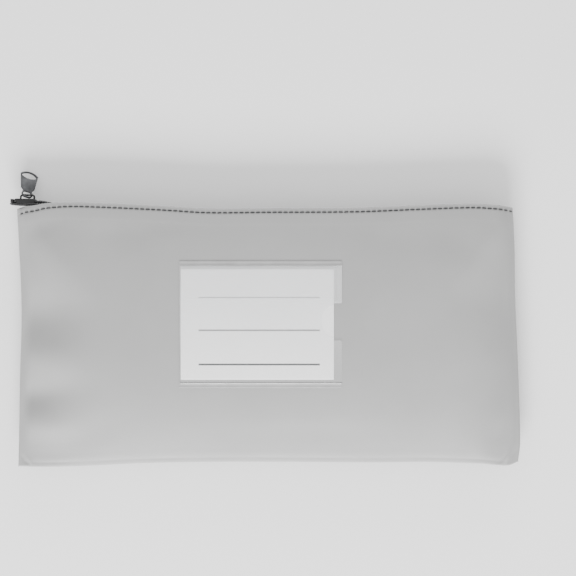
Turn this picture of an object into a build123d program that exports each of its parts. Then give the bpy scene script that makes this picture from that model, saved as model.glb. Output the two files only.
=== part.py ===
from build123d import *
import math
import os

# Zipped vinyl deposit bag, lying on its back.
#
# +X runs along the zip from its closed end to its stop, +Y from the bottom seam to the mouth, +Z out of the
# front panel.  The origin is on the surface the bag rests on, under the middle of the bag.  Millimetres.
#
# The two panels are sewn face to face round the sides and bottom and turned, so their seam allowances lie
# inside, flat on each other at SEAM_Z.  The mouth is hemmed and stitched to a coil zip that faces +Y.

# ---- driving dimensions -------------------------------------------------------------------------------
SHEET = 0.75  # vinyl thickness
SEAM_Z = 10.0  # height of the plane where front and back allowances meet
BELLY_Z = 24.0  # highest point of the filled bag
SEAM_GAP = 0.03  # from the seam plane to each panel
REST_DIP = 0.35  # how far the back panel is pressed flat by what it rests on
ALLOWANCE = 6.5  # seam allowance turned inside
HEM = 9.0  # depth of the folded hem at the mouth
STITCH_PITCH = 3.1
STITCH_GAP = 0.6  # fabric left between two stitches
THREAD = 0.34
TOPSTITCH_DROP = 2.1  # topstitch below the hem's fold
SEAM_STITCH_IN = 4.2  # seam stitches in from the edge

CHAIN_Z = 11.0  # centre of the zip chain
MOUTH_HALF = 6.5  # chain centre to a hem's outer face
COIL_DOWN = 0.68  # coil's reach into the bag from the chain's centre
COIL_UP = 0.92  # and out of it
COIL_WIDTH = 2.6  # one half, across the chain
TAPE = 0.4
TAPE_INNER = 1.35  # tape's woven edge, from the chain's centre
TAPE_DEPTH = 10.0  # how far the tape runs down inside the bag
TAPE_GAP = 0.1
CHAIN_BELOW_EDGE = 1.3  # coil centre below the hem's fold

SLIDER_LENGTH = 11.4
SLIDER_NOSE = 8.6  # width across the open end
SLIDER_TAIL = 7.0
SLIDER_X = -137.0  # slider's centre at rest
SLIDER_Y = 74.3
SLIDER_HALF_THICK = 1.9
WING = 0.75
BRIDGE_TOP = 4.7  # top of the bridge above the chain's centre
BRIDGE_BAR = 1.1
BRIDGE_SPAN = 8.8
BRIDGE_X = -135.9 - SLIDER_X  # middle of the bridge from the slider's centre

PULL_ALONG = -0.4  # where on the bridge the pull hangs
PULL_LENGTH = 17.2
PULL_TOP = 11.0
PULL_THICK = 1.0
SLOT_RIM = 0.85  # metal left round the slot in the tab's free end
SLOT_DEPTH = 3.9  # slot's height in the middle
EYE_WIDE = 4.8
EYE_TALL = 2.8
EYE_RIM = 0.85
EYE_SHIFT = 0.55  # eye's centre beyond the bridge bar
PULL_LEAN = 30.0  # tip leans back from +Y towards the surface, degrees
PULL_TWIST = 27.0  # the tab's face turned about its own length, degrees
PULL_ROLL = 1.0  # tip towards +X

STOP_X = 130.4  # middle of the bottom stop
TOP_STOP_X = -144.2

CARD_WIDTH = 85.3
CARD_HEIGHT = 61.5
CARD_THICK = 0.3
CARD_LEFT = -48.2
CARD_BOTTOM = -25.3
FILM = 0.25
FILM_LEFT = -49.2
FILM_RIGHT = 41.6
FILM_TOP = 40.8
FILM_BOTTOM = -30.0
WELD_BAND = 2.3
WELD_LEFT = 0.55
WELD_ARM = 3.5
WELD_SINK = 0.12  # a weld's depth into the panel
CARD_LIFT = 0.15  # card above the panel
FILM_LIFT = 0.55  # film's underside above the panel
NOTCH_MIDDLE = 6.9
NOTCH_HALF = 10.4  # gap between the two welded arms
THUMB_HALF = 9.0
THUMB_DEPTH = 7.2

# ---- outline: (position, value) pairs along each edge -------------------------------------------------
TOP_EDGE = [(-142, 70.2), (-136.5, 71.5), (-131, 72.1), (-125, 73.2), (-118, 73.6), (-104, 73.6),
            (-80, 72.7), (-56, 71.5), (-34, 70.2), (0, 70.4), (50, 70.7), (84, 72.0), (115, 73.0),
            (130, 72.2), (139, 71.0)]
BOTTOM_EDGE = [(-141.2, -75.2), (-128, -75.6), (-105, -75.0), (-70, -73.4), (-30, -72.7), (10, -72.7),
               (60, -73.0), (92, -72.8), (120, -73.7), (136, -74.8), (142, -72.6)]
LEFT_EDGE = [(-75.2, -141.2), (-50, -140.7), (-20, -140.2), (8, -139.4), (30, -139.9), (50, -140.9),
             (70.2, -142.0)]
RIGHT_EDGE = [(-72.6, 142.0), (-62, 143.2), (-38, 142.7), (-10, 141.7), (20, 140.4), (50, 140.0),
              (71.0, 139.0)]


def along(knots, s):
    """Smooth curve through the knots (cubic Hermite), held at its end values outside them."""
    s = min(max(s, knots[0][0]), knots[-1][0])
    i = max(k for k in range(len(knots) - 1) if knots[k][0] <= s)

    def slope(k):
        a, b = knots[max(k - 1, 0)], knots[min(k + 1, len(knots) - 1)]
        return (b[1] - a[1]) / (b[0] - a[0])

    (s0, v0), (s1, v1) = knots[i], knots[i + 1]
    h = s1 - s0
    t = (s - s0) / h
    return ((1 + 2 * t) * (1 - t) ** 2 * v0 + t * t * (3 - 2 * t) * v1
            + h * t * (1 - t) ** 2 * slope(i) - h * t * t * (1 - t) * slope(i + 1))


def top_edge(x):
    return along(TOP_EDGE, x)


def bottom_edge(x):
    return along(BOTTOM_EDGE, x)


def left_edge(y):
    return along(LEFT_EDGE, y)


def right_edge(y):
    return along(RIGHT_EDGE, y)


# ---- the filled bag's form ----------------------------------------------------------------------------
BELLY_Y = 2.0  # where the belly is fullest
SIDE_ROLL = 45.0  # how far in from a side seam the panel still slopes
MOUTH_ROLL = 12.0  # the same beside the mouth, where the slider holds the bag open


def side_fall(x, y):
    """0 on a side seam, 1 in from it."""
    mouthward = min(max((y - 15.0) / 52.0, 0.0), 1.0)
    blend = mouthward * mouthward * (3 - 2 * mouthward)
    roll = SIDE_ROLL + (MOUTH_ROLL - SIDE_ROLL) * blend
    inwards = min(x - left_edge(y), right_edge(y) - x)
    return 1 - max(1 - max(inwards, 0.0) / roll, 0.0) ** 2.4


def rise(x, y, belly, mouth, power_down, power_up):
    """How far a panel stands off the seam plane at (x, y)."""
    if y < BELLY_Y:
        share = min((BELLY_Y - y) / (BELLY_Y - bottom_edge(x)), 1.0)
        lift = belly * (1 - share ** power_down)
    else:
        share = min((y - BELLY_Y) / (top_edge(x) - BELLY_Y), 1.0)
        lift = belly - (belly - mouth) * share ** power_up
    return lift * side_fall(x, y)


def front_z(x, y):
    """Outer face of the front panel."""
    lowest = SEAM_Z + SEAM_GAP + SHEET
    return lowest + rise(x, y, BELLY_Z - lowest, CHAIN_Z + MOUTH_HALF - lowest, 2.6, 2.2)


def back_z(x, y):
    """Outer face of the back panel, before it is pressed flat."""
    highest = SEAM_Z - SEAM_GAP - SHEET
    return highest - rise(x, y, highest + REST_DIP, highest - CHAIN_Z + MOUTH_HALF, 4.0, 4.0)


def outline_point(u, v):
    """A point inside the outline: u from the left seam to the right, v from the bottom to the mouth."""
    low_x = -141.2 + 283.2 * u
    top_x = -142.0 + 281.0 * u
    left_y = -75.2 + 145.4 * v
    right_y = -72.6 + 143.6 * v
    low, top = (low_x, bottom_edge(low_x)), (top_x, top_edge(top_x))
    left, right = (left_edge(left_y), left_y), (right_edge(right_y), right_y)
    corners = ((-141.2, -75.2), (142.0, -72.6), (-142.0, 70.2), (139.0, 71.0))
    return tuple(
        (1 - v) * low[k] + v * top[k] + (1 - u) * left[k] + u * right[k]
        - (1 - u) * (1 - v) * corners[0][k] - u * (1 - v) * corners[1][k]
        - (1 - u) * v * corners[2][k] - u * v * corners[3][k]
        for k in range(2)
    )


def stations(count):
    """0 to 1, closer together at both ends."""
    return [0.5 - 0.5 * math.cos(math.pi * i / (count - 1)) for i in range(count)]


def skin(height, columns=53, rows=25):
    """The spline face of a panel."""
    grid = []
    for v in stations(rows):
        line = []
        for u in stations(columns):
            x, y = outline_point(u, v)
            line.append(Vector(x, y, height(x, y)))
        grid.append(line)
    return Face.make_surface_from_array_of_points(grid, tol=0.02, min_deg=3, max_deg=5)


# ---- helpers ------------------------------------------------------------------------------------------
def strip(low, high, start, end, count=26):
    """Flat face between two smooth lines, from start to end."""
    return between(low, high, [start + (end - start) * i / (count - 1) for i in range(count)])


def between(low, high, xs):
    below = Spline(*[(x, low(x)) for x in xs])
    above = Spline(*[(x, high(x)) for x in xs])
    ends = Line(above @ 0, below @ 0) + Line(below @ 1, above @ 1)
    return make_face([below, above, *ends.edges()])


def column(face, low=-5.0, high=40.0):
    """A flat face drawn through the bag's whole thickness."""
    return extrude(Pos(0, 0, low) * face, amount=high - low)


def beam(y_low, y_high, z_low, z_high, xs):
    """A bar along +X between two lines in plan and two in elevation."""
    plan = column(between(y_low, y_high, xs))
    side = extrude(Pos(0, 100, 0) * Rot(90, 0, 0) * between(z_low, z_high, xs), amount=60)
    return plan & side


def layer(face, near, far, up=1):
    """The part of a panel's build-up between two depths inside its outer face (up=1 front, -1 back)."""
    top = -near if up > 0 else far
    return Solid.extrude(face.moved(Location((0, 0, top))), Vector(0, 0, near - far))


def turned_allowance(low, high):
    """The seam allowance lying inside along the left side, the bottom and the right side."""
    end_y = 57.0
    ys = [-75.0 + i * (end_y + 75.0) / 14 for i in range(15)]
    xs = [-141.0 + i * 283.0 / 20 for i in range(21)]

    def band(inset):
        left = Spline(*[(left_edge(y) + inset, y) for y in ys if y > -74 + inset])
        right = Spline(*[(right_edge(y) - inset, y) for y in ys if y > -72 + inset])
        inner = [x for x in xs if -139.4 + inset < x < 140.4 - inset]
        low_line = Spline(*[(x, bottom_edge(x) + inset) for x in inner])
        joins = [Line(left @ 0, low_line @ 0), Line(low_line @ 1, right @ 0), Line(left @ 1, right @ 1)]
        return make_face([left, right, low_line, *joins])

    ring = band(0.35) - band(ALLOWANCE)
    return extrude(Pos(0, 0, low) * ring, amount=high - low)


# ---- the panels ---------------------------------------------------------------------------------------
FRONT_SKIN = skin(front_z)
BACK_SKIN = skin(back_z)


def hem_zone():
    return column(strip(lambda x: top_edge(x) - HEM, lambda x: top_edge(x) + 2, -146, 146, 40))


def front_panel():
    sheet = layer(FRONT_SKIN, 0, SHEET)
    fold = layer(FRONT_SKIN, SHEET, 2 * SHEET) & hem_zone()
    return sheet + fold + turned_allowance(SEAM_Z + 0.08, SEAM_Z + SHEET - 0.07)


def back_panel():
    sheet = layer(BACK_SKIN, 0, SHEET, -1)
    fold = layer(BACK_SKIN, SHEET, 2 * SHEET, -1) & hem_zone()
    whole = sheet + fold + turned_allowance(SEAM_Z - SHEET + 0.07, SEAM_Z - 0.08)
    return whole - Pos(0, 0, -5) * Box(400, 300, 10)


# ---- stitching ----------------------------------------------------------------------------------------
def topstitch(height, up):
    """One thread: a stitch lying on the hem and a leg through hem and tape at each hole."""
    stitches = []
    count = int((136.5 + 137.0) / STITCH_PITCH)
    leg = 2 * SHEET + TAPE_GAP + TAPE + 0.1
    for i in range(count):
        x = -137.0 + STITCH_PITCH * (i + 0.5)
        drop = TOPSTITCH_DROP + 1.3 * max(-(x + 112) / 26, 0)
        y = top_edge(x) - drop
        turn = math.degrees(math.atan2(top_edge(x + 1) - top_edge(x - 1), 2))
        pitch = math.degrees(math.atan2(height(x + 1, y) - height(x - 1, y), 2))
        bar = Box(STITCH_PITCH - STITCH_GAP, THREAD, THREAD)
        depth = leg if x > -123 else 2 * SHEET - 0.1
        shank = Pos(-(STITCH_PITCH - STITCH_GAP) / 2 + THREAD / 2, 0, -up * depth / 2)
        shank = shank * Box(THREAD, THREAD, depth)
        place = Pos(x, y, height(x, y) + up * 0.02) * Rot(0, -pitch, turn)
        stitches.append(place * (bar + shank))
    return Compound(stitches)


def seam_stitch(x, y, turn):
    """One stitch through both allowances."""
    reach = SHEET + THREAD / 2 - 0.12
    bar = Box(STITCH_PITCH - STITCH_GAP, THREAD, THREAD)
    shank = Pos(-(STITCH_PITCH - STITCH_GAP) / 2 + THREAD / 2, 0, 0) * Box(THREAD, THREAD, 2 * reach)
    return Pos(x, y, SEAM_Z) * Rot(0, 0, turn) * (Pos(0, 0, reach) * bar + Pos(0, 0, -reach) * bar + shank)


def side_thread(edge, inwards):
    ys = [-58.0 + STITCH_PITCH * i for i in range(36)]
    return Compound([seam_stitch(edge(y) + inwards * SEAM_STITCH_IN, y, 90) for y in ys])


def bottom_thread():
    xs = [-124.0 + STITCH_PITCH * i for i in range(80)]
    return Compound([seam_stitch(x, bottom_edge(x) + SEAM_STITCH_IN, 0) for x in xs])


# ---- the zip ------------------------------------------------------------------------------------------
SLIDE_TURN = -0.76  # the slider's straight path falls a little towards +X, degrees
SLIDE_SLOPE = math.tan(math.radians(SLIDE_TURN))


def smooth(a, b, x):
    t = min(max((x - a) / (b - a), 0), 1)
    return t * t * (3 - 2 * t)


def chain_y(x):
    """Chain centre: level with the slider at the closed end, just inside the hems elsewhere."""
    at_slider = SLIDER_Y + SLIDE_SLOPE * (x - SLIDER_X)
    inside = top_edge(x) - CHAIN_BELOW_EDGE
    return at_slider + (inside - at_slider) * smooth(-129, -116, x)


def parting(x):
    """How far each half stands off the chain's centre: meshed right of the slider, parted left of it."""
    return 0.02 + 0.9 * (1 - smooth(SLIDER_X - 4.6, SLIDER_X + 2.5, x))


CHAIN_START = -145.0
CHAIN_END = 133.5
TAPE_TURN = -123.5  # from here on the tape is stitched down inside the hem
CHAIN_XS = [CHAIN_START + 1.25 * i for i in range(28)] + [-106.25 + 9.59 * i for i in range(26)]


def chain_bar(up, y_low, y_high, near, far):
    low = (lambda x: CHAIN_Z + parting(x) + near) if up > 0 else (lambda x: CHAIN_Z - parting(x) - far)
    high = (lambda x: CHAIN_Z + parting(x) + far) if up > 0 else (lambda x: CHAIN_Z - parting(x) - near)
    return beam(lambda x: chain_y(x) + y_low, lambda x: chain_y(x) + y_high, low, high, CHAIN_XS)


def right_of(x):
    """Everything by the mouth to the right of x."""
    return Pos(x + 200, 65, 0) * Box(400, 40, 100)


def coil(up):
    """One half of the coil, as its plain envelope, with its filler cord's channel."""
    return chain_bar(up, -COIL_DOWN, COIL_UP, 0, COIL_WIDTH) - chain_bar(up, -0.26, 0.46, 1.5, 2.2)


def filler_cord(up):
    return chain_bar(up, -0.2, 0.4, 1.55, 2.15)


def coil_thread(up):
    """The chain stitch that holds the coil down on its tape."""
    return chain_bar(up, 0.94, 1.09, 1.6, 2.1)


def tape(up):
    """One tape: flat under the coil, then turned down along the inside of its hem."""
    skin_face = FRONT_SKIN if up > 0 else BACK_SKIN
    near = 2 * SHEET + TAPE_GAP
    hemmed = layer(skin_face, near, near + 9, up) & right_of(TAPE_TURN)
    free = Pos(TAPE_TURN - 50, 75, CHAIN_Z + up * 2.4) * Box(100, 20, 4.8)
    across = chain_bar(up, -1.1, -0.7, TAPE_INNER, 8.0) & (hemmed + free)
    leg = layer(skin_face, near, near + TAPE, up) & right_of(TAPE_TURN)
    deep = between(lambda x: top_edge(x) - TAPE_DEPTH - 2, lambda x: chain_y(x) - 0.8, CHAIN_XS)
    return across + (leg & column(deep))


def top_stops():
    """A small clamp on the end of each half."""
    clamps = []
    for up in (1, -1):
        y, z = chain_y(TOP_STOP_X), CHAIN_Z + up * (parting(TOP_STOP_X) + 1.3)
        clamp = Box(1.5, 3.4, 3.5) - Pos(0, -0.08, 0) * Box(2, 2.46, 2.74)
        clamps.append(Pos(TOP_STOP_X, y, z) * (clamp - Pos(0, -1.25, up * 1.7) * Box(2, 1.4, 1.5)))
    return Compound(clamps)


def bottom_stop():
    """The clamp that joins both halves at the open end of the travel."""
    y = chain_y(STOP_X)
    clamp = Box(1.8, 3.5, 6.8) - Pos(0, -0.08, 0) * Box(3, 2.5, 5.5)
    return Pos(STOP_X, y, CHAIN_Z) * clamp


def slider_body():
    """Two wings joined by the post, flanges round the coils, and the bridge the pull hangs on."""
    half = SLIDER_LENGTH / 2
    nose, tail = SLIDER_NOSE / 2, SLIDER_TAIL / 2
    plan = Polyline((half, -tail), (half, tail), (-1.0, nose), (-half + 1.6, nose), (-half, nose - 1.3),
                    (-half, -nose + 1.3), (-half + 1.6, -nose), (-1.0, -nose), close=True)
    outline = Rot(90, 0, 0) * make_face(plan)
    block = extrude(Pos(0, SLIDER_HALF_THICK, 0) * outline, amount=2 * SLIDER_HALF_THICK)
    block = fillet(block.edges().filter_by(Axis.Y), 0.5)
    inner = Polyline((half + 1, 2.72), (2.9, 2.72), (-3.5, 3.62), (-half - 1, 3.62), (-half - 1, -3.62),
                     (-3.5, -3.62), (2.9, -2.72), (half + 1, -2.72), close=True)
    gap = SLIDER_HALF_THICK - WING
    channel = extrude(Pos(0, gap, 0) * Rot(90, 0, 0) * make_face(inner), amount=2 * gap)
    slots = Pos(0, -0.9, 0) * Box(40, 0.5, 20)
    post = Pos(-half + 1.6, 0, 0) * Rot(90, 0, 0) * extrude(Ellipse(1.5, 0.62), amount=gap, both=True)
    top = SLIDER_HALF_THICK
    centre = BRIDGE_TOP - BRIDGE_BAR / 2
    reach = BRIDGE_SPAN / 2 - BRIDGE_BAR / 2
    path = Polyline((-reach, top - 0.3), (-reach, centre), (reach, centre), (reach, top - 0.3))
    path = Pos(BRIDGE_X, 0, 0) * fillet(path.vertices().group_by(Axis.Y)[-1], 1.3)
    start = Plane(origin=path @ 0, z_dir=path % 0)
    bridge = sweep(start * Circle(BRIDGE_BAR / 2), path=path)
    return place_slider(block - channel - slots + post + bridge)


def place_slider(shape):
    return Pos(SLIDER_X, SLIDER_Y, CHAIN_Z) * Rot(0, 0, SLIDE_TURN) * shape


def zip_pull():
    """A tapered tab: a curved slot along its wide free end and an eye round the bridge."""
    eye = EYE_SHIFT
    root = EYE_WIDE / 2 + EYE_RIM
    tip_y = PULL_LENGTH - EYE_RIM - EYE_TALL / 2 + eye
    half = PULL_TOP / 2
    top = ThreePointArc((-half + 0.3, tip_y - 2.0), (0, tip_y), (half - 0.3, tip_y - 2.0))
    waist = 3.3
    shoulder = root + 0.75
    left = Line((-half + 0.3, tip_y - 2.0), (-shoulder, waist + 1.0))
    right = Line((half - 0.3, tip_y - 2.0), (shoulder, waist + 1.0))
    base = Polyline((-shoulder, waist + 1.0), (-root + 0.5, waist - 0.3), (root - 0.5, waist - 0.3),
                    (shoulder, waist + 1.0))
    tab = make_face([*top.edges(), *left.edges(), *right.edges(), *base.edges()])
    loop = Pos(0, eye) * SlotOverall(2 * root, EYE_TALL + 2 * EYE_RIM)
    neck = Pos(0, (eye + waist + 0.8) / 2) * Rectangle(2 * root - 0.9, waist + 0.8 - eye)
    hole = Pos(0, eye) * SlotOverall(EYE_WIDE, EYE_TALL)
    corner = half - 0.3 - SLOT_RIM
    low = ThreePointArc((-corner, tip_y - 3.2), (0, tip_y - SLOT_RIM - SLOT_DEPTH), (corner, tip_y - 3.2))
    high = ThreePointArc((-corner, tip_y - 2.7), (0, tip_y - SLOT_RIM), (corner, tip_y - 2.7))
    sides = [Line(low @ 0, high @ 0), Line(low @ 1, high @ 1)]
    slot = make_face([*low.edges(), *high.edges(), *sides])
    flat = tab + neck + loop - hole - slot
    tilt = Rot(0, 0, -PULL_ROLL) * Rot(-PULL_LEAN, 0, 0) * Rot(0, PULL_TWIST, 0)
    solid = extrude(flat, amount=PULL_THICK / 2, both=True)
    pivot = Pos(BRIDGE_X + PULL_ALONG, BRIDGE_TOP - BRIDGE_BAR / 2, 0)
    return place_slider(pivot * tilt * solid)


# ---- the card pocket ----------------------------------------------------------------------------------
def panel_crest(y):
    """Highest the front panel stands at y anywhere the card passes over."""
    return max(front_z(-48.0 + 10 * i, y) for i in range(18))


def curved_slab(low, high, x_low, x_high, y_low, y_high):
    """A sheet bent to the front panel's curve in Y and straight in X, between two heights above it."""
    ys = [y_low + (y_high - y_low) * i / 9 for i in range(10)]
    under = Spline(*[(y, panel_crest(y) + low) for y in ys])
    over = Spline(*[(y, panel_crest(y) + high) for y in ys])
    profile = make_face([under, over, Line(under @ 0, over @ 0), Line(under @ 1, over @ 1)])
    return Pos(x_low, 0, 0) * extrude(Plane.YZ * profile, amount=x_high - x_low)


def label_card():
    top = CARD_BOTTOM + CARD_HEIGHT
    right = CARD_LEFT + CARD_WIDTH
    return curved_slab(CARD_LIFT, CARD_LIFT + CARD_THICK, CARD_LEFT, right, CARD_BOTTOM, top)


def window_outline():
    wide, tall = FILM_RIGHT - FILM_LEFT, FILM_TOP - FILM_BOTTOM
    middle = Pos((FILM_LEFT + FILM_RIGHT) / 2, (FILM_TOP + FILM_BOTTOM) / 2)
    plate = middle * RectangleRounded(wide, tall, 0.6)
    gap = Pos(FILM_RIGHT, NOTCH_MIDDLE) * Rectangle(2 * 4.4, 2 * NOTCH_HALF)
    thumb = Pos(FILM_RIGHT - 4.4, NOTCH_MIDDLE) * Ellipse(THUMB_DEPTH, THUMB_HALF)
    return plate - gap - thumb


def label_window():
    """Clear film welded round its left, top and bottom, open to the right for the card."""
    whole = column(window_outline())
    inner_tall = FILM_TOP - FILM_BOTTOM - WELD_BAND - 2.3
    inner_wide = 100.0
    inner = Pos(FILM_LEFT + WELD_LEFT + inner_wide / 2, (FILM_TOP + FILM_BOTTOM) / 2) \
        * Rectangle(inner_wide, inner_tall)
    core = Pos(FILM_LEFT + WELD_LEFT + 0.25 + inner_wide / 2, (FILM_TOP + FILM_BOTTOM) / 2) \
        * Rectangle(inner_wide, inner_tall - 0.5)
    low, high = FILM_BOTTOM - 1, FILM_TOP + 1
    raised = curved_slab(FILM_LIFT, FILM_LIFT + FILM, FILM_LEFT - 1, FILM_RIGHT + 1, low, high)
    riser = curved_slab(0.05, FILM_LIFT + FILM, FILM_LEFT - 1, FILM_RIGHT + 1, low, high)
    weld = layer(FRONT_SKIN, -FILM, WELD_SINK)
    film = (raised & column(inner)) + (riser & (column(inner) - column(core))) + (weld - column(core))
    return film & whole


PARTS = {
    "front_panel": front_panel,
    "back_panel": back_panel,
    "left_seam_thread": lambda: side_thread(left_edge, 1),
    "right_seam_thread": lambda: side_thread(right_edge, -1),
    "bottom_seam_thread": bottom_thread,
    "front_topstitch": lambda: topstitch(front_z, 1),
    "back_topstitch": lambda: topstitch(back_z, -1),
    "front_zip_tape": lambda: tape(1),
    "back_zip_tape": lambda: tape(-1),
    "front_zip_coil": lambda: coil(1),
    "back_zip_coil": lambda: coil(-1),
    "front_filler_cord": lambda: filler_cord(1),
    "back_filler_cord": lambda: filler_cord(-1),
    "front_coil_thread": lambda: coil_thread(1),
    "back_coil_thread": lambda: coil_thread(-1),
    "top_stops": top_stops,
    "bottom_stop": bottom_stop,
    "slider_body": slider_body,
    "zip_pull": zip_pull,
    "label_window": label_window,
    "label_card": label_card,
}


def main():
    os.makedirs("parts", exist_ok=True)
    for name, make in PARTS.items():
        export_step(make(), f"parts/{name}.step")


if __name__ == "__main__":
    main()
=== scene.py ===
import math

import bmesh
import bpy
import numpy as np
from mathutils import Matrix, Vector


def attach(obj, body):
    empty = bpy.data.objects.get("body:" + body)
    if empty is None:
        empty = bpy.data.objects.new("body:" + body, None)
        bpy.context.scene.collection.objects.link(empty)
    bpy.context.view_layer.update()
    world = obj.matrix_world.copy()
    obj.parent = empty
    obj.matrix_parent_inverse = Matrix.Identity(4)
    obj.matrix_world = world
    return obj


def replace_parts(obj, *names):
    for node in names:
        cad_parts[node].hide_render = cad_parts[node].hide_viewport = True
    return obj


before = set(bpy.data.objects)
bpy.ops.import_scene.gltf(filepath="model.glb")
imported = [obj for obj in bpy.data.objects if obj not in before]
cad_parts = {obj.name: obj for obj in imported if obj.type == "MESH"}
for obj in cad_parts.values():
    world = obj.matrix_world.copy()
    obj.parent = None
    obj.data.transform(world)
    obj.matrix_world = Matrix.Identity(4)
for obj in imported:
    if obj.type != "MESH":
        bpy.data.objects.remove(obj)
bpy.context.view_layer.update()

# Looks of a zipped vinyl deposit bag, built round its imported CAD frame.
# Lengths are millimetres until MM scales them.
MM = 0.001

# ---- the CAD's driving dimensions ---------------------------------------------------------------------
SHEET = 0.75
SEAM_Z = 10.0
BELLY_Z = 24.0
SEAM_GAP = 0.03
REST_DIP = 0.35
CHAIN_Z = 11.0
MOUTH_HALF = 6.5
HEM = 9.0
STITCH_PITCH = 3.1
SLIDER_X, SLIDER_Y = -137.0, 74.3
SLIDE_SLOPE = math.tan(math.radians(-0.76))
CHAIN_BELOW_EDGE = 1.3
TAPE_TURN = -123.5
CHAIN_START, CHAIN_END = -145.0, 133.5
CARD = (-48.2, -25.3, 37.1, 36.2)  # left, bottom, right, top
CARD_LIFT, CARD_THICK = 0.15, 0.3
FILM_BOX = (-49.2, -30.0, 41.6, 40.8)
FILM_LIFT, FILM = 0.55, 0.25
NOTCH_MIDDLE, NOTCH_HALF = 6.9, 10.4
THUMB_HALF, THUMB_DEPTH = 9.0, 7.2
ARM_WIDTH = 4.4  # the film's two right-hand arms stand this far past its free edge
BELLY_Y = 2.0  # where the belly is fullest
SIDE_ROLL, MOUTH_ROLL = 45.0, 12.0  # how far in from a side seam the panel slopes, low down and at the mouth
TOPSTITCH_DROP = 2.1  # topstitch below the hem's fold, over most of the mouth
TAPE_THICK = 0.4
TAPE_INNER = 1.35  # tape's woven edge, from the chain's centre

TOP_EDGE = [(-142, 70.2), (-136.5, 71.5), (-131, 72.1), (-125, 73.2), (-118, 73.6), (-104, 73.6),
            (-80, 72.7), (-56, 71.5), (-34, 70.2), (0, 70.4), (50, 70.7), (84, 72.0), (115, 73.0),
            (130, 72.2), (139, 71.0)]
BOTTOM_EDGE = [(-141.2, -75.2), (-128, -75.6), (-105, -75.0), (-70, -73.4), (-30, -72.7), (10, -72.7),
               (60, -73.0), (92, -72.8), (120, -73.7), (136, -74.8), (142, -72.6)]
LEFT_EDGE = [(-75.2, -141.2), (-50, -140.7), (-20, -140.2), (8, -139.4), (30, -139.9), (50, -140.9),
             (70.2, -142.0)]
RIGHT_EDGE = [(-72.6, 142.0), (-62, 143.2), (-38, 142.7), (-10, 141.7), (20, 140.4), (50, 140.0),
              (71.0, 139.0)]


def along(knots, s):
    """The CAD's smooth curve through its knots, for one position or an array of them."""
    k = np.array(knots, float)
    ks, kv = k[:, 0], k[:, 1]
    s = np.clip(s, ks[0], ks[-1])
    low, high = np.maximum(np.arange(len(k)) - 1, 0), np.minimum(np.arange(len(k)) + 1, len(k) - 1)
    slope = (kv[high] - kv[low]) / (ks[high] - ks[low])
    i = np.clip(np.searchsorted(ks, s, side="right") - 1, 0, len(k) - 2)
    h = ks[i + 1] - ks[i]
    t = (s - ks[i]) / h
    return ((1 + 2 * t) * (1 - t) ** 2 * kv[i] + t * t * (3 - 2 * t) * kv[i + 1]
            + h * t * (1 - t) ** 2 * slope[i] - h * t * t * (1 - t) * slope[i + 1])


def top_edge(x):
    return along(TOP_EDGE, x)


def bottom_edge(x):
    return along(BOTTOM_EDGE, x)


def left_edge(y):
    return along(LEFT_EDGE, y)


def right_edge(y):
    return along(RIGHT_EDGE, y)


def ease(a, b, x):
    t = np.clip((x - a) / (b - a), 0, 1)
    return t * t * (3 - 2 * t)


def side_fall(x, y):
    """0 on a side seam, 1 in from it."""
    roll = SIDE_ROLL + (MOUTH_ROLL - SIDE_ROLL) * ease(15.0, 67.0, y)
    inwards = np.maximum(np.minimum(x - left_edge(y), right_edge(y) - x), 0)
    return 1 - np.maximum(1 - inwards / roll, 0) ** 2.4


def rise(x, y, belly, mouth, power_down, power_up):
    """How far a panel stands off the seam plane."""
    down = np.clip((BELLY_Y - y) / (BELLY_Y - bottom_edge(x)), 0, 1)
    up = np.clip((y - BELLY_Y) / (top_edge(x) - BELLY_Y), 0, 1)
    lift = np.where(y < BELLY_Y, belly * (1 - down ** power_down), belly - (belly - mouth) * up ** power_up)
    return lift * side_fall(x, y)


def front_z(x, y):
    lowest = SEAM_Z + SEAM_GAP + SHEET
    return lowest + rise(x, y, BELLY_Z - lowest, CHAIN_Z + MOUTH_HALF - lowest, 2.6, 2.2)


def back_z(x, y):
    highest = SEAM_Z - SEAM_GAP - SHEET
    return highest - rise(x, y, highest + REST_DIP, highest - CHAIN_Z + MOUTH_HALF, 4.0, 4.0)


def chain_y(x):
    """Chain centre: level with the slider at the closed end, just inside the hems elsewhere."""
    at_slider = SLIDER_Y + SLIDE_SLOPE * (x - SLIDER_X)
    return at_slider + (top_edge(x) - CHAIN_BELOW_EDGE - at_slider) * ease(-129, -116, x)


def parting(x):
    """How far each half of the chain stands off its centre."""
    return 0.02 + 0.9 * (1 - ease(SLIDER_X - 4.6, SLIDER_X + 2.5, x))


def card_crest(y):
    """Highest the front panel stands at y anywhere the card passes over."""
    return np.max([front_z(-48.0 + 10 * i, y) for i in range(18)], axis=0)


def outline_point(u, v):
    """A point inside the outline: u from the left seam to the right, v from the bottom to the mouth."""
    low_x, top_x = -141.2 + 283.2 * u, -142.0 + 281.0 * u
    left_y, right_y = -75.2 + 145.4 * v, -72.6 + 143.6 * v
    x = ((1 - v) * low_x + v * top_x + (1 - u) * left_edge(left_y) + u * right_edge(right_y)
         - (1 - u) * (1 - v) * -141.2 - u * (1 - v) * 142.0 - (1 - u) * v * -142.0 - u * v * 139.0)
    y = ((1 - v) * bottom_edge(low_x) + v * top_edge(top_x) + (1 - u) * left_y + u * right_y
         - (1 - u) * (1 - v) * -75.2 - u * (1 - v) * -72.6 - (1 - u) * v * 70.2 - u * v * 71.0)
    return x, y


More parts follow.
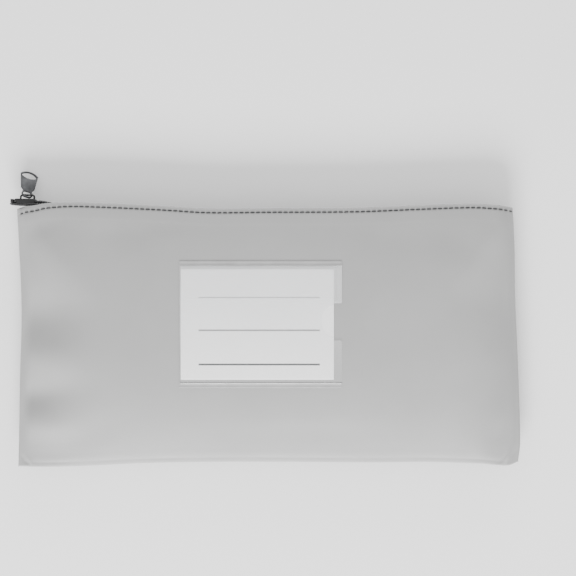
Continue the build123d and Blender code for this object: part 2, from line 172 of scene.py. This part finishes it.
# ---- camera: straight above, as far off as a long lens stands ------------------------------------------
VIEW_WIDTH = 326.5
VIEW_CENTRE = (11.6, 25.8)
LENS, SENSOR = 100.0, 36.0
camera_data = bpy.data.cameras.new("camera")
camera_data.lens = LENS
camera_data.sensor_width = SENSOR
camera_data.clip_start = 0.01
camera = bpy.data.objects.new("camera", camera_data)
camera.location = (VIEW_CENTRE[0] * MM, VIEW_CENTRE[1] * MM, (SEAM_Z + VIEW_WIDTH * LENS / SENSOR) * MM)
bpy.context.scene.collection.objects.link(camera)
bpy.context.scene.camera = camera


# ---- materials ------------------------------------------------------------------------------------------
def material(name, colour, rough, metal=0.0, **sockets):
    m = bpy.data.materials.new(name)
    m.use_nodes = True
    shader = m.node_tree.nodes["Principled BSDF"]
    shader.inputs["Base Color"].default_value = (*colour, 1)
    shader.inputs["Roughness"].default_value = rough
    shader.inputs["Metallic"].default_value = metal
    for socket, value in sockets.items():
        shader.inputs[socket.replace("_", " ")].default_value = value
    return m


def add(m, kind, **values):
    n = m.node_tree.nodes.new(kind)
    for key, value in values.items():
        if key in n.inputs:
            n.inputs[key].default_value = value
        else:
            setattr(n, key, value)
    return n


def wire(m, out_node, out, in_node, into):
    m.node_tree.links.new(out_node.outputs[out], in_node.inputs[into])


def place(m, scale=(1, 1, 1), turn=(0, 0, 0)):
    """Object coordinates, which ride with the piece."""
    co = add(m, "ShaderNodeTexCoord")
    mapping = add(m, "ShaderNodeMapping")
    mapping.inputs["Scale"].default_value = scale
    mapping.inputs["Rotation"].default_value = turn
    wire(m, co, "Object", mapping, "Vector")
    return mapping


def tint(m, mask, out, dark, light, low=0.3, high=0.7):
    """Colour between dark and light by a mask."""
    ramp = add(m, "ShaderNodeValToRGB")
    ramp.color_ramp.elements[0].position = low
    ramp.color_ramp.elements[0].color = (*dark, 1)
    ramp.color_ramp.elements[1].position = high
    ramp.color_ramp.elements[1].color = (*light, 1)
    wire(m, mask, out, ramp, "Fac")
    wire(m, ramp, "Color", m.node_tree.nodes["Principled BSDF"], "Base Color")


def roughen(m, mask, out, low, high):
    span = add(m, "ShaderNodeMapRange")
    span.inputs["To Min"].default_value = low
    span.inputs["To Max"].default_value = high
    wire(m, mask, out, span, "Value")
    wire(m, span, "Result", m.node_tree.nodes["Principled BSDF"], "Roughness")


def bump(m, mask, out, strength, distance, onto=None):
    b = add(m, "ShaderNodeBump")
    b.inputs["Strength"].default_value = strength
    b.inputs["Distance"].default_value = distance
    wire(m, mask, out, b, "Height")
    if onto is not None:
        wire(m, onto, "Normal", b, "Normal")
    wire(m, b, "Normal", m.node_tree.nodes["Principled BSDF"], "Normal")
    return b


def vinyl_material():
    m = material("vinyl", (0.325, 0.325, 0.325), 0.5, Specular_IOR_Level=0.42)
    at = place(m)
    mottle = add(m, "ShaderNodeTexNoise", Scale=28.0, Detail=4.0, Roughness=0.55)
    wire(m, at, "Vector", mottle, "Vector")
    tint(m, mottle, "Fac", (0.315, 0.315, 0.314), (0.335, 0.335, 0.334))
    grain = add(m, "ShaderNodeTexVoronoi", Scale=1500.0)
    wire(m, at, "Vector", grain, "Vector")
    pores = add(m, "ShaderNodeTexNoise", Scale=700.0, Detail=3.0)
    wire(m, at, "Vector", pores, "Vector")
    roughen(m, pores, "Fac", 0.44, 0.6)
    first = bump(m, grain, "Distance", 0.12, 0.00012)
    bump(m, pores, "Fac", 0.1, 0.0002, onto=first)
    return m


def thread_material():
    m = material("thread", (0.007, 0.007, 0.008), 0.7)
    twist = add(m, "ShaderNodeTexWave", Scale=900.0, Distortion=0.6)
    wire(m, place(m, turn=(0, 0, 0.7)), "Vector", twist, "Vector")
    tint(m, twist, "Fac", (0.004, 0.004, 0.005), (0.012, 0.012, 0.013))
    bump(m, twist, "Fac", 0.5, 0.0001)
    return m


def tape_material():
    m = material("zip tape", (0.012, 0.012, 0.013), 0.8, Sheen_Weight=0.3, Sheen_Roughness=0.5)
    at = place(m)
    warp = add(m, "ShaderNodeTexWave", Scale=620.0, Distortion=0.3, bands_direction="X")
    wire(m, at, "Vector", warp, "Vector")
    weft = add(m, "ShaderNodeTexWave", Scale=480.0, Distortion=0.3, bands_direction="DIAGONAL")
    wire(m, at, "Vector", weft, "Vector")
    weave = add(m, "ShaderNodeMath", operation="MULTIPLY")
    wire(m, warp, "Fac", weave, 0)
    wire(m, weft, "Fac", weave, 1)
    tint(m, weave, "Value", (0.006, 0.006, 0.007), (0.026, 0.026, 0.028), 0.1, 0.8)
    bump(m, weave, "Value", 0.6, 0.0002)
    return m


def nylon_material():
    m = material("nylon coil", (0.01, 0.01, 0.011), 0.34)
    grime = add(m, "ShaderNodeTexNoise", Scale=420.0, Detail=2.0)
    wire(m, place(m), "Vector", grime, "Vector")
    tint(m, grime, "Fac", (0.006, 0.006, 0.007), (0.016, 0.016, 0.018))
    roughen(m, grime, "Fac", 0.26, 0.45)
    return m


def metal_material(name, dark, light, rough_low, rough_high, metal):
    m = material(name, light, rough_low, metal)
    at = place(m)
    wear = add(m, "ShaderNodeTexNoise", Scale=260.0, Detail=6.0, Roughness=0.62)
    wire(m, at, "Vector", wear, "Vector")
    tint(m, wear, "Fac", dark, light, 0.35, 0.68)
    roughen(m, wear, "Fac", rough_high, rough_low)
    scratches = add(m, "ShaderNodeTexNoise", Scale=900.0, Detail=2.0)
    wire(m, place(m, scale=(1, 0.12, 0.3), turn=(0.2, 0, 0.5)), "Vector", scratches, "Vector")
    bump(m, scratches, "Fac", 0.14, 0.00008)
    return m


def film_material():
    m = material("clear film", (0.93, 0.94, 0.95), 0.12, Specular_IOR_Level=0.6)
    m.blend_method = "BLEND"
    at = place(m)
    # The white film grows more opaque towards the top of the window: painted glare, laid over a cloudy milky
    # haze.
    split = add(m, "ShaderNodeSeparateXYZ")
    wire(m, at, "Vector", split, "Vector")
    cloud = add(m, "ShaderNodeTexNoise", Scale=22.0, Detail=2.0)
    wire(m, at, "Vector", cloud, "Vector")
    cloud_and_glare_rise = add(m, "ShaderNodeMath", operation="MULTIPLY_ADD")
    wire(m, cloud, "Fac", cloud_and_glare_rise, 0)
    cloud_and_glare_rise.inputs[1].default_value = 0.012
    wire(m, split, "Y", cloud_and_glare_rise, 2)
    haze_and_glare = add(m, "ShaderNodeMapRange", interpolation_type="SMOOTHSTEP")
    for socket, value in (("From Min", -0.022), ("From Max", 0.036), ("To Min", 0.03), ("To Max", 0.3)):
        haze_and_glare.inputs[socket].default_value = value
    wire(m, cloud_and_glare_rise, "Value", haze_and_glare, "Value")
    wire(m, haze_and_glare, "Result", m.node_tree.nodes["Principled BSDF"], "Alpha")
    ripple = add(m, "ShaderNodeTexNoise", Scale=60.0, Detail=1.0)
    wire(m, at, "Vector", ripple, "Vector")
    bump(m, ripple, "Fac", 0.08, 0.0006)
    return m


def weld_material():
    """The same film where it is melted into the panel: tinted by the vinyl behind it."""
    m = material("welded film", (0.36, 0.36, 0.36), 0.2, Specular_IOR_Level=0.6)
    press = add(m, "ShaderNodeTexNoise", Scale=160.0, Detail=2.0)
    wire(m, place(m), "Vector", press, "Vector")
    tint(m, press, "Fac", (0.33, 0.33, 0.33), (0.38, 0.38, 0.38))
    bump(m, press, "Fac", 0.15, 0.0003)
    return m


def card_material():
    m = material("card", (0.88, 0.88, 0.88), 0.55)
    fibre = add(m, "ShaderNodeTexNoise", Scale=520.0, Detail=5.0, Roughness=0.7)
    wire(m, place(m), "Vector", fibre, "Vector")
    tint(m, fibre, "Fac", (0.86, 0.86, 0.86), (0.9, 0.9, 0.9))
    bump(m, fibre, "Fac", 0.1, 0.0001)
    return m


def ink_material():
    m = material("ink", (0.008, 0.008, 0.008), 0.6)
    patch = add(m, "ShaderNodeTexNoise", Scale=1200.0, Detail=2.0)
    wire(m, place(m), "Vector", patch, "Vector")
    tint(m, patch, "Fac", (0.005, 0.005, 0.005), (0.014, 0.014, 0.014))
    return m


VINYL = vinyl_material()
THREAD = thread_material()
TAPE = tape_material()
NYLON = nylon_material()
GUNMETAL = metal_material("gunmetal", (0.02, 0.021, 0.023), (0.05, 0.052, 0.056), 0.36, 0.52, 0.35)
LACQUER = metal_material("black lacquer", (0.003, 0.003, 0.0035), (0.009, 0.009, 0.01), 0.34, 0.5, 0.0)
FILM_CLEAR = film_material()
FILM_WELD = weld_material()
CARD_WHITE = card_material()
INK = ink_material()


# ---- meshes -----------------------------------------------------------------------------------------------
def piece(name, points, faces, mat, body):
    """A smooth mesh piece, given in millimetres."""
    mesh = bpy.data.meshes.new(name)
    mesh.from_pydata((np.asarray(points, float) * MM).tolist(), [], faces)
    mesh.polygons.foreach_set("use_smooth", [True] * len(mesh.polygons))
    mesh.materials.append(mat)
    obj = bpy.data.objects.new(name, mesh)
    bpy.context.scene.collection.objects.link(obj)
    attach(obj, body)
    return obj


def grid_faces(rows, columns, start=0, flip=False):
    faces = []
    for j in range(rows - 1):
        for i in range(columns - 1):
            a = start + j * columns + i
            quad = (a, a + 1, a + columns + 1, a + columns)
            faces.append(quad[::-1] if flip else quad)
    return faces


def unit(v):
    return v / np.maximum(np.linalg.norm(v, axis=-1, keepdims=True), 1e-9)


def shell(outer, thickness, up):
    """Closes a grid of outer points into a sheet with half-round rims."""
    rows, columns, _ = outer.shape
    du, dv = np.gradient(outer, axis=1), np.gradient(outer, axis=0)
    normal = unit(np.cross(du, dv))
    inner = outer - up * normal * thickness[..., None]
    points = [outer.reshape(-1, 3), inner.reshape(-1, 3)]
    count = rows * columns
    faces = grid_faces(rows, columns, 0, up < 0) + grid_faces(rows, columns, count, up > 0)
    ring = ([(0, i) for i in range(columns)] + [(j, columns - 1) for j in range(1, rows)]
            + [(rows - 1, i) for i in range(columns - 2, -1, -1)] + [(j, 0) for j in range(rows - 2, 0, -1)])
    away = np.zeros_like(outer)
    away[0] -= unit(dv[0])
    away[-1] += unit(dv[-1])
    away[:, 0] -= unit(du[:, 0])
    away[:, -1] += unit(du[:, -1])
    away = unit(away)
    j, i = np.array(ring).T
    middle = (outer[j, i] + inner[j, i]) / 2
    half = (outer[j, i] - inner[j, i]) / 2
    radius = thickness[j, i][:, None] / 2
    loops = [np.array(j * columns + i)]
    at = 2 * count
    for k in range(1, 4):
        angle = math.pi * k / 4
        points.append(middle + half * math.cos(angle) + away[j, i] * radius * math.sin(angle))
        loops.append(np.arange(at, at + len(ring)))
        at += len(ring)
    loops.append(loops[0] + count)
    for a, b in zip(loops, loops[1:]):
        for k in range(len(ring)):
            n = (k + 1) % len(ring)
            quad = (int(a[k]), int(b[k]), int(b[n]), int(a[n]))
            faces.append(quad if up > 0 else quad[::-1])
    return np.concatenate(points), faces


def topstitch_drop(x):
    return TOPSTITCH_DROP + 1.3 * np.maximum(-(x + 112) / 26, 0)


# soft dents and folds: x, y, half-length along, half-width across, turn in degrees, height
FRONT_FOLDS = [
    (-128, 37, 26, 15, 8, 1.5), (-128, 10.5, 30, 12, 2, -2.6), (-130, -12, 25, 10, -4, 2.5),
    (-131, -34, 21, 8.5, 6, -2.6), (-131, -51, 19, 8, 2, 1.7), (-129, 60, 14, 7, 28, -0.8),
    (-96, 44, 26, 14, -58, -0.8), (-104, -58, 24, 9, 24, -0.55), (128, -58, 11, 6, 40, -0.9),
    (121, -62, 9, 5, 62, 0.65), (122, 22, 22, 16, 10, -0.8), (126, -12, 20, 13, -8, 0.7),
    (112, 50, 26, 10, -24, -0.6), (-70, 58, 34, 8, 4, -0.45), (74, 52, 24, 9, -6, -0.45),
    (88, -30, 22, 22, 30, -0.5), (-84, -20, 18, 26, 12, 0.5), (20, -57, 52, 8, 1, -0.35),
]
# small tucks in the turned corners, right up to the seam
FRONT_TUCKS = [
    (136.0, -69.5, 4.2, 1.1, 72, 0.5), (139.0, -68.5, 4.6, 1.2, 60, -0.4),
    (133.0, -71.0, 3.6, 1.0, 50, -0.3), (-137.5, -71.5, 3.6, 1.2, 128, -0.35),
    (-134.5, -72.2, 3.2, 1.0, 120, 0.25), (136.4, 66, 3.4, 1.0, -50, -0.3),
]
BACK_FOLDS = [
    (-124, 20, 24, 9, 5, 0.9), (-126, -22, 22, 9, -8, 0.8), (-122, -52, 18, 8, 14, 0.6),
    (126, 30, 24, 10, -6, 0.9), (128, -8, 20, 8, 7, 0.7), (124, -48, 20, 8, -12, 0.6),
    (-60, 62, 30, 6, 3, 0.5), (40, 62, 34, 6, -3, 0.5), (-40, -64, 40, 5, 2, 0.4), (60, -64, 36, 5, -2, 0.4),
]


def folds(table, x, y):
    total = np.zeros_like(x)
    for cx, cy, long, wide, turn, height in table:
        c, s = math.cos(math.radians(turn)), math.sin(math.radians(turn))
        a = ((x - cx) * c + (y - cy) * s) / long
        b = (-(x - cx) * s + (y - cy) * c) / wide
        total += height * np.exp(-a * a - b * b)
    return total


def edge_distance(x, y):
    """Distance in from the sewn edges."""
    return np.minimum(np.minimum(x - left_edge(y), right_edge(y) - x), y - bottom_edge(x))


def stations(count, crowd=0.86):
    """0 to 1, closer together at both ends."""
    t = np.linspace(0, 1, count)
    return (1 - crowd) * t + crowd * (0.5 - 0.5 * np.cos(math.pi * t))


def panel(name, height, table, up, node):
    u, v = np.meshgrid(stations(300), stations(170))
    x, y = outline_point(u, v)
    sewn, mouth = edge_distance(x, y), top_edge(x) - y
    z = height(x, y)
    keep = ease(0.4, 7.5, sewn) * ease(1.5, 16.0, mouth)
    if up > 0:  # the welded pocket holds its part of the panel smooth
        keep = keep * (1 - ease(70, 56, np.abs(x + 3.8)) * ease(60, 46, np.abs(y - 5.4)))
    z = z + up * folds(table, x, y) * keep
    if up > 0:
        z = z + folds(FRONT_TUCKS, x, y) * ease(0.2, 2.0, sewn)
    along_edge = np.sin(x * 0.21 + 1.0) * 0.5 + np.sin(y * 0.27 + x * 0.08) * 0.5
    z = z - up * (0.1 + 0.05 * along_edge) * np.exp(-((sewn - 2.6) / 0.8) ** 2) * ease(4, 9, mouth)
    z = z + up * 0.06 * np.exp(-((sewn - 5.2) / 2.0) ** 2) * ease(4, 9, mouth)
    z = z - up * (0.7 - np.sqrt(np.maximum(0.49 - np.maximum(0.7 - sewn, 0) ** 2, 0)))  # turned edge
    z = z - up * 0.24 * np.exp(-((mouth - topstitch_drop(x)) / 0.6) ** 2)  # drawn in by the topstitch
    z = z - up * 0.5 * np.clip(1 - mouth / 1.5, 0, 1) ** 2 * ease(0.5, 4.0, sewn)  # the fold's roll
    z = z - up * 0.07 * ease(HEM - 0.9, HEM + 0.9, mouth) * ease(24, 12, mouth)  # under the hem's edge
    if up < 0:
        z = np.maximum(z, 0.0)
    thickness = SHEET + SHEET * 0.92 * ease(HEM + 0.6, HEM - 0.2, mouth) * ease(0.5, 4.0, sewn)
    points, faces = shell(np.stack([x, y, z], -1), thickness, up)
    if up < 0:
        points[:, 2] = np.maximum(points[:, 2], 0.0)
    obj = piece(name, points, faces, VINYL, "bag")
    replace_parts(obj, node)
    return obj


front = panel("front_vinyl", front_z, FRONT_FOLDS, 1, "front_panel")
back = panel("back_vinyl", back_z, BACK_FOLDS, -1, "back_panel")


# ---- stitching ----------------------------------------------------------------------------------------
def capsules(name, rows, length, radius, arch, body="bag"):
    """Stitches: each (centre, along, out) is a pulled thread that dips into the cloth at both ends."""
    rings, sides = 9, 8
    t = np.linspace(-1, 1, rings)
    swell = radius * np.sqrt(np.maximum(1 - np.abs(t) ** 5, 0.04))
    around = np.linspace(0, 2 * math.pi, sides, endpoint=False)
    points, faces = [], []
    for centre, forward, out in rows:
        forward, out = unit(np.array(forward, float)), unit(np.array(out, float))
        across = np.cross(out, forward)
        start = len(points) * rings * sides
        spine = np.array(centre) + np.outer(t * length / 2, forward) + np.outer(arch * (1 - t ** 4), out)
        ring = (spine[:, None, :] + swell[:, None, None] * (np.cos(around)[None, :, None] * across
                + np.sin(around)[None, :, None] * out))
        points.append(ring.reshape(-1, 3))
        for j in range(rings - 1):
            for i in range(sides):
                n = (i + 1) % sides
                a, b = start + j * sides, start + (j + 1) * sides
                faces.append((a + i, a + n, b + n, b + i))
        faces.append(tuple(start + i for i in range(sides - 1, -1, -1)))
        faces.append(tuple(start + (rings - 1) * sides + i for i in range(sides)))
    return piece(name, np.concatenate(points), faces, THREAD, body)


def topstitch_rows(height, up):
    rows = []
    for i in range(-1, 89):
        x = -137.0 + STITCH_PITCH * (i + 0.5)
        y = float(top_edge(x) - topstitch_drop(x))
        dent = 0.22
        slope_x = float(height(x + 1, y) - height(x - 1, y)) / 2
        slope_y = float(height(x, y + 1) - height(x, y - 1)) / 2
        turn = float(top_edge(x + 1) - top_edge(x - 1)) / 2 + 0.05 * math.sin(i * 2.4)
        z = float(height(x, y)) - up * dent
        rows.append(((x, y, z), (1, turn, slope_x), (-up * slope_x, -up * slope_y, up)))
    return rows


front_stitch = capsules("front_stitches", topstitch_rows(front_z, 1), 2.75, 0.33, 0.2)
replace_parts(front_stitch, "front_topstitch")
back_stitch = capsules("back_stitches", topstitch_rows(back_z, -1), 2.75, 0.33, 0.2)
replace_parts(back_stitch, "back_topstitch")


def chain_rows(up):
    """The stitches that hold a coil to its tape."""
    rows = []
    for i in range(106):
        x = CHAIN_START + 1.2 + 2.6 * i
        y, z = float(chain_y(x)), CHAIN_Z + up * (float(parting(x)) + 1.85)
        turn = float(chain_y(x + 1) - chain_y(x - 1)) / 2
        rows.append(((x, y + 0.9, z), (1, turn, 0.12 * up * (-1) ** i), (0, 1, 0)))
    return rows


for up, side in ((1, "front"), (-1, "back")):
    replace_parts(capsules(f"{side}_coil_stitches", chain_rows(up), 2.5, 0.17, 0.06), f"{side}_coil_thread")


# ---- zip ----------------------------------------------------------------------------------------------
def coil(side, up):
    """Nylon monofilament wound into one half of the chain, its heads in step with the other half."""
    pitch, per_turn, sides, radius = 1.3, 12, 6, 0.27
    turns = int((CHAIN_END - CHAIN_START) / pitch)
    k = np.arange(turns * per_turn + 1)
    theta = 2 * math.pi * k / per_turn
    x = CHAIN_START + 0.3 + pitch * k / per_turn + (pitch / 2 if up < 0 else 0)
    x = np.minimum(x, CHAIN_END)
    z = CHAIN_Z + up * (parting(x) + 1.12 - 1.2 * np.sign(np.cos(theta)) * np.abs(np.cos(theta)) ** 0.8)
    y = chain_y(x) + 0.12 + 0.52 * np.sign(np.sin(theta)) * np.abs(np.sin(theta)) ** 0.7
    spine = np.stack([x, y, z], -1)
    tangent = unit(np.gradient(spine, axis=0))
    one = unit(np.cross(tangent, np.array([1.0, 0, 0])))
    two = np.cross(tangent, one)
    around = np.linspace(0, 2 * math.pi, sides, endpoint=False)
    head = 1 + 0.22 * np.maximum(np.cos(theta), 0) ** 6
    ring = spine[:, None] + (radius * head)[:, None, None] * (
        np.cos(around)[None, :, None] * one[:, None] + np.sin(around)[None, :, None] * two[:, None])
    faces = []
    for j in range(len(k) - 1):
        for i in range(sides):
            n = (i + 1) % sides
            faces.append((j * sides + i, (j + 1) * sides + i, (j + 1) * sides + n, j * sides + n))
    faces.append(tuple(range(sides)))
    faces.append(tuple(len(k) * sides - 1 - i for i in range(sides)))
    obj = piece(f"{side}_coil_winding", ring.reshape(-1, 3), faces, NYLON, "bag")
    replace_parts(obj, f"{side}_zip_coil")


def tape(side, up, height):
    """Woven tape: flat under its coil, round the corner and down inside the hem."""
    x = np.concatenate([np.linspace(CHAIN_START, -112, 60), np.linspace(-111, CHAIN_END, 150)])
    flat_end, deep = 4.62, 0.5 + 11.0 * ease(TAPE_TURN - 4, TAPE_TURN + 2, x)
    y0, out = chain_y(x) - 0.7, parting(x)
    lines = []
    for s in np.linspace(0, 1, 9):
        reach = TAPE_INNER + (flat_end - 0.7 - TAPE_INNER) * s
        lines.append(np.stack([x, y0, CHAIN_Z + up * (out * (1 - s) + reach)], -1))
    for s in np.linspace(0, 1, 15)[1:]:
        down = deep * s
        y = y0 - down
        inside = np.abs(height(x, y) - CHAIN_Z) - 1.62
        corner = 0.7 * np.exp(-down / 0.45)
        wanted = np.where(x > TAPE_TURN, np.maximum(inside, flat_end), flat_end) - corner
        lines.append(np.stack([x, y, CHAIN_Z + up * wanted], -1))
    outer = np.stack(lines)
    points, faces = shell(outer[:, ::-1] if up < 0 else outer, np.full(outer.shape[:2], TAPE_THICK), -1)
    obj = piece(f"{side}_tape_weave", points, faces, TAPE, "bag")
    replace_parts(obj, f"{side}_zip_tape")
    return obj


for up, side, height in ((1, "front", front_z), (-1, "back", back_z)):
    coil(side, up)
    tape(side, up, height)


def bevelled(node, name, width, mat, body):
    """A CAD part with its edges broken."""
    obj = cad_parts[node].copy()
    obj.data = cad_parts[node].data.copy()
    obj.name = obj.data.name = name
    obj.parent = None
    for key in list(obj.keys()):
        del obj[key]
    bpy.context.scene.collection.objects.link(obj)
    bm = bmesh.new()
    bm.from_mesh(obj.data)
    bmesh.ops.remove_doubles(bm, verts=bm.verts, dist=2e-6)
    bmesh.ops.dissolve_limit(bm, angle_limit=math.radians(2), verts=bm.verts, edges=bm.edges)
    sharp = [e for e in bm.edges if e.is_manifold and e.calc_face_angle(0) > math.radians(38)]
    bmesh.ops.bevel(bm, geom=sharp, offset=width * MM, segments=2, profile=0.6, affect="EDGES",
                    clamp_overlap=True)
    bmesh.ops.triangulate(bm, faces=[f for f in bm.faces if len(f.verts) > 4])
    bm.to_mesh(obj.data)
    bm.free()
    obj.data.materials.clear()
    obj.data.materials.append(mat)
    obj.data.polygons.foreach_set("use_smooth", [True] * len(obj.data.polygons))
    obj.data.set_sharp_from_angle(angle=math.radians(42))
    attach(obj, body)
    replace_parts(obj, node)
    return obj


bevelled("zip_pull", "pull_tab", 0.16, GUNMETAL, "pull")
bevelled("slider_body", "slider_casting", 0.14, LACQUER, "slider")
bevelled("top_stops", "top_stop_clamps", 0.1, LACQUER, "bag")
bevelled("bottom_stop", "bottom_stop_clamp", 0.1, LACQUER, "bag")
for node in ("left_seam_thread", "right_seam_thread", "bottom_seam_thread", "front_filler_cord",
             "back_filler_cord"):
    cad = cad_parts[node]
    cad.data.materials.clear()
    cad.data.materials.append(THREAD)


# ---- card pocket --------------------------------------------------------------------------------------
def window():
    """Clear film: welded flat round three sides, raised over the card, open with a thumb cut at the right."""
    left, bottom, right, top = FILM_BOX
    free = right - ARM_WIDTH
    thumb = NOTCH_MIDDLE + THUMB_HALF * np.sin(np.linspace(-math.pi / 2, math.pi / 2, 37))
    low_end, high_end = NOTCH_MIDDLE - NOTCH_HALF, NOTCH_MIDDLE + NOTCH_HALF
    rounding = np.array([0.0, 0.08, 0.3, 0.62, 1.0])
    ys = np.concatenate([np.linspace(bottom, low_end - 1, 62), low_end - 1 + rounding[1:],
                         low_end + np.array([0.02, 0.5]), thumb, high_end - np.array([0.5, 0.02]),
                         high_end + rounding, np.linspace(high_end + 1, top, 50)[1:]])
    reach = np.full_like(ys, right)
    inside = np.abs(ys - NOTCH_MIDDLE) < NOTCH_HALF
    reach[inside] = free
    bite = np.clip(1 - ((ys - NOTCH_MIDDLE) / THUMB_HALF) ** 2, 0, 1)
    reach[inside] -= THUMB_DEPTH * np.sqrt(bite[inside])
    past = np.abs(ys - NOTCH_MIDDLE) - NOTCH_HALF
    near = (past >= 0) & (past < 1)
    reach[near] = right - 1 + np.sqrt(np.maximum(1 - (1 - past[near]) ** 2, 0))
    across = np.concatenate([np.linspace(0, 0.03, 14)[:-1], np.linspace(0.03, 0.93, 90)[:-1],
                             np.linspace(0.93, 1, 28)])
    x = left + (reach[:, None] - left) * across[None, :]
    y = np.repeat(ys[:, None], len(across), 1)
    lift = (ease(0.3, 0.85, x - left) * ease(2.2, 3.1, top - y) * ease(2.2, 3.1, y - bottom))
    base, over = front_z(x, y) + 0.3, card_crest(y) + FILM_LIFT + FILM
    z = base + (over - base) * lift
    groove = np.exp(-((top - y - 1.5) / 0.3) ** 2) + np.exp(-((y - bottom - 1.3) / 0.3) ** 2)
    arm = np.exp(-((right - 3.3 - x) / 0.28) ** 2) * ease(0.3, 1.2, np.abs(y - NOTCH_MIDDLE) - NOTCH_HALF)
    arm_rim = np.exp(-((right - 0.7 - x) / 0.3) ** 2) * ease(0.3, 1.2, np.abs(y - NOTCH_MIDDLE) - NOTCH_HALF)
    z = z - 0.2 * groove + (0.3 * arm + 0.24 * arm_rim) * ease(2.0, 4.0, np.minimum(top - y, y - bottom))
    z = z + 0.05 * np.sin(x * 0.17 + 0.6) * np.sin(y * 0.21) * lift
    points, faces = shell(np.stack([x, y, z], -1), np.full(x.shape, FILM), 1)
    obj = piece("pocket_film", points, faces, FILM_CLEAR, "bag")
    obj.data.materials.append(FILM_WELD)
    flat = lift.reshape(-1)
    count = len(flat)
    for p in obj.data.polygons:
        ids = [i % count for i in p.vertices if i < 2 * count]
        if ids and max(flat[i] for i in ids) < 0.35:
            p.material_index = 1
    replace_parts(obj, "label_window")
    return obj


def sheet_over_card(name, box, low, high, mat, steps):
    left, bottom, right, top = box
    x, y = np.meshgrid(np.linspace(left, right, steps[0]), np.linspace(bottom, top, steps[1]))
    z = card_crest(y) + high
    points, faces = shell(np.stack([x, y, z], -1), np.full(x.shape, high - low), 1)
    return piece(name, points, faces, mat, "card")


film = window()
CARD_TOP = CARD_LIFT + CARD_THICK
card_sheet = sheet_over_card("ruled_card", CARD, CARD_LIFT, CARD_TOP, CARD_WHITE, (40, 60))
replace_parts(card_sheet, "label_card")
RULES = ((20.5, 0.55), (2.2, 0.85), (-16.9, 1.0))  # height on the card and weight of line
RULE_LEFT, RULE_RIGHT = -38.3, 29.4
for number, (y, weight) in enumerate(RULES):
    rule = (RULE_LEFT, y - weight / 2, RULE_RIGHT, y + weight / 2)
    low, high = CARD_TOP - 0.01, CARD_TOP + 0.02
    sheet_over_card(f"card_rule_{number}", rule, low, high, INK, (24, 3))


# ---- floor and light ----------------------------------------------------------------------------------
def floor():
    mesh = bpy.data.meshes.new("floor")
    size = 3.0
    corners = [(-size, -size, 0), (size, -size, 0), (size, size, 0), (-size, size, 0)]
    mesh.from_pydata(corners, [], [(0, 1, 2, 3)])
    obj = bpy.data.objects.new("floor", mesh)
    bpy.context.scene.collection.objects.link(obj)
    mesh.materials.append(material("floor", (0.93, 0.93, 0.93), 0.8))


def area_light(name, place_at, aim, size, power):
    data = bpy.data.lights.new(name, "AREA")
    data.shape = "RECTANGLE"
    data.size, data.size_y = size
    data.energy = power
    obj = bpy.data.objects.new(name, data)
    obj.location = place_at
    obj.rotation_euler = (Vector(aim) - Vector(place_at)).to_track_quat("-Z", "Y").to_euler()
    bpy.context.scene.collection.objects.link(obj)


floor()
area_light("key", (-0.2, -1.6, 0.8), (0, 0, 0), (1.1, 0.6), 80.0)
area_light("rim", (0.3, 1.7, 0.4), (0, 0.05, 0), (1.4, 0.4), 22.0)
world = bpy.data.worlds.new("studio")
world.use_nodes = True
world.node_tree.nodes["Background"].inputs["Color"].default_value = (1, 1, 1, 1)
world.node_tree.nodes["Background"].inputs["Strength"].default_value = 1.15
bpy.context.scene.world = world
